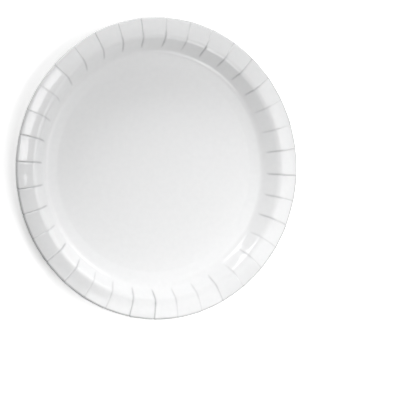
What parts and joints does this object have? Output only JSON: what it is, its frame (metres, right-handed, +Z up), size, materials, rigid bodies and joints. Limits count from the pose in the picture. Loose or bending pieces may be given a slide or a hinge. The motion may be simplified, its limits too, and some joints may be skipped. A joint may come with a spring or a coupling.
{
  "type": "paper plate",
  "caption": "Round disposable plate pressed from one sheet of coated paperboard, with a shallow well, a sloping wall and a pleated flange.",
  "frame": {"origin": "middle of the flat underside of the base, on the surface that the plate stands on", "axes": "+Z up along the plate's axis, out of the well; one fold lies along +X"},
  "size_m": [0.2286, 0.2286, 0.0118],
  "materials": {
    "board": "gloss coated white upper side, matt white underside"
  },
  "bodies": {
    "root": {"plate": "board"}
  },
  "joints": []
}
